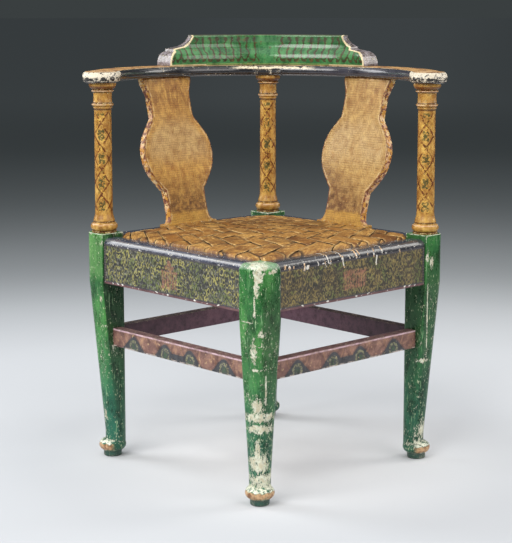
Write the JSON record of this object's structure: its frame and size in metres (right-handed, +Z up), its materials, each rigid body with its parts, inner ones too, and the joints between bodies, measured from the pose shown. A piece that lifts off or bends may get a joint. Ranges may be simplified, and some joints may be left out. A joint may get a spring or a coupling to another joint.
{
  "type": "corner chair",
  "caption": "Painted wooden corner chair: square seat set cornerwise, turned posts, bowed arms with a raised crest, vase splats and a woven lift-out seat.",
  "frame": {"origin": "on the floor, under the middle of the square seat", "axes": "+Z up, the front leg towards -Y and the back post towards +Y, the side posts along -X and +X"},
  "size_m": [0.665, 0.6514, 0.783],
  "materials": {
    "green_paint": "worn green paint over white ground",
    "ochre_paint": "worn yellow ochre paint",
    "slate_paint": "worn satin slate-black paint",
    "rail_paint": "slate paint with an olive scroll pattern",
    "stretcher_paint": "worn terracotta and aubergine paint",
    "crest_paint": "green paint with dark red line work",
    "splint": "aged satin wood splint",
    "bare_wood": "unpainted aged wood",
    "iron": "dark iron"
  },
  "bodies": {
    "chair_frame": {"front_leg": "green_paint", "left_post": "green_paint", "right_post": "green_paint", "back_post": "green_paint", "front_left_rail": "rail_paint", "front_right_rail": "rail_paint", "back_left_rail": "rail_paint", "back_right_rail": "rail_paint", "front_left_stretcher": "stretcher_paint", "front_right_stretcher": "stretcher_paint", "back_left_stretcher": "stretcher_paint", "back_right_stretcher": "stretcher_paint", "left_splat": "ochre_paint", "right_splat": "ochre_paint", "left_shoe": "ochre_paint", "right_shoe": "ochre_paint", "left_arm": "slate_paint", "right_arm": "slate_paint", "crest": "crest_paint", "crest_screws": "iron", "corner_blocks": "bare_wood"},
    "slip_seat": {"seat_frame_front_left": "bare_wood", "seat_frame_front_right": "bare_wood", "seat_frame_back_left": "bare_wood", "seat_frame_back_right": "bare_wood", "woven_seat": "splint"}
  },
  "joints": [
    {"name": "seat_lift", "type": "slide", "parent": "chair_frame", "child": "slip_seat", "axis": [0, 0, 1], "range_m": [0, 0.12]}
  ]
}
